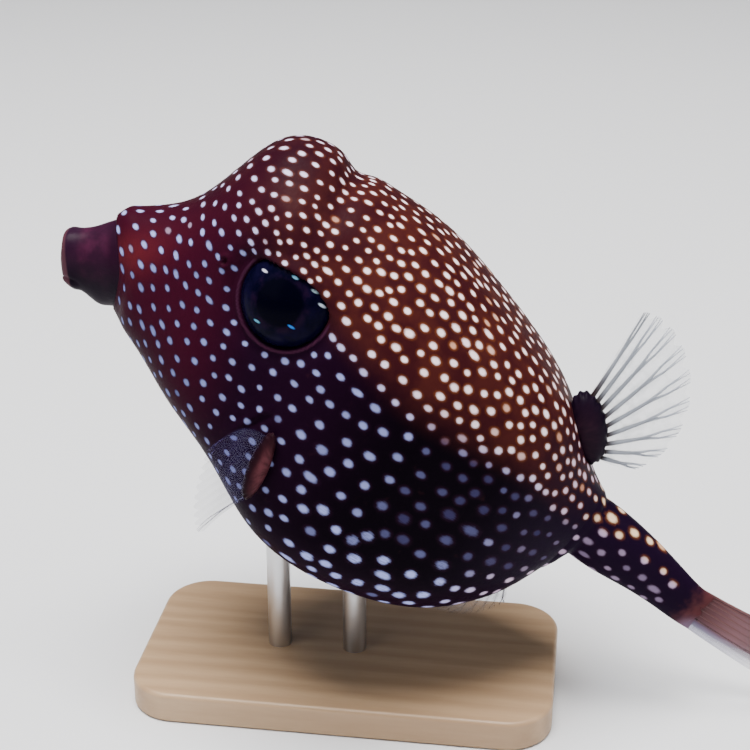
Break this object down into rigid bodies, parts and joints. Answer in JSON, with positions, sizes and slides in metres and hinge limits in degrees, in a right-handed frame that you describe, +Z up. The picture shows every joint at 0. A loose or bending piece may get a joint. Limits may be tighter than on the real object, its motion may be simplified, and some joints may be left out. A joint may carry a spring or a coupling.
{
  "type": "boxfish display model",
  "caption": "White-spotted boxfish at life size, nose up in a swimming pose, held by two rods on a plain flat display plate.",
  "frame": {"origin": "centre of the stand plate's underside", "axes": "+Z up out of the plate; +X runs from the fish's mouth end to its tail end in plan; +Y toward the fish's right side"},
  "size_m": [0.0808, 0.043, 0.0621],
  "materials": {
    "spotted_skin": "satin dark brown skin over bony plates, with many white spots",
    "lip_skin": "smooth dark maroon",
    "eye": "wet blue-black",
    "fin_root": "smooth brown, fleshy",
    "fin_membrane": "thin, clear grey, with pale rays",
    "tail_membrane": "thin, orange brown, clear toward the edge",
    "stand_wood": "oiled pale wood",
    "stand_steel": "brushed"
  },
  "bodies": {
    "root": {"head": "spotted_skin", "trunk": "spotted_skin", "tail_stalk": "spotted_skin", "upper_lip": "lip_skin", "lower_lip": "lip_skin", "eye_left": "eye", "eye_right": "eye", "dorsal_base": "fin_root", "anal_base": "fin_root", "pectoral_base_left": "fin_root", "pectoral_base_right": "fin_root", "dorsal_fin": "fin_membrane", "anal_fin": "fin_membrane", "pectoral_fin_left": "fin_membrane", "pectoral_fin_right": "fin_membrane", "caudal_fin": "tail_membrane", "stand_plate": "stand_wood", "stand_rod_front": "stand_steel", "stand_rod_rear": "stand_steel"}
  },
  "joints": []
}
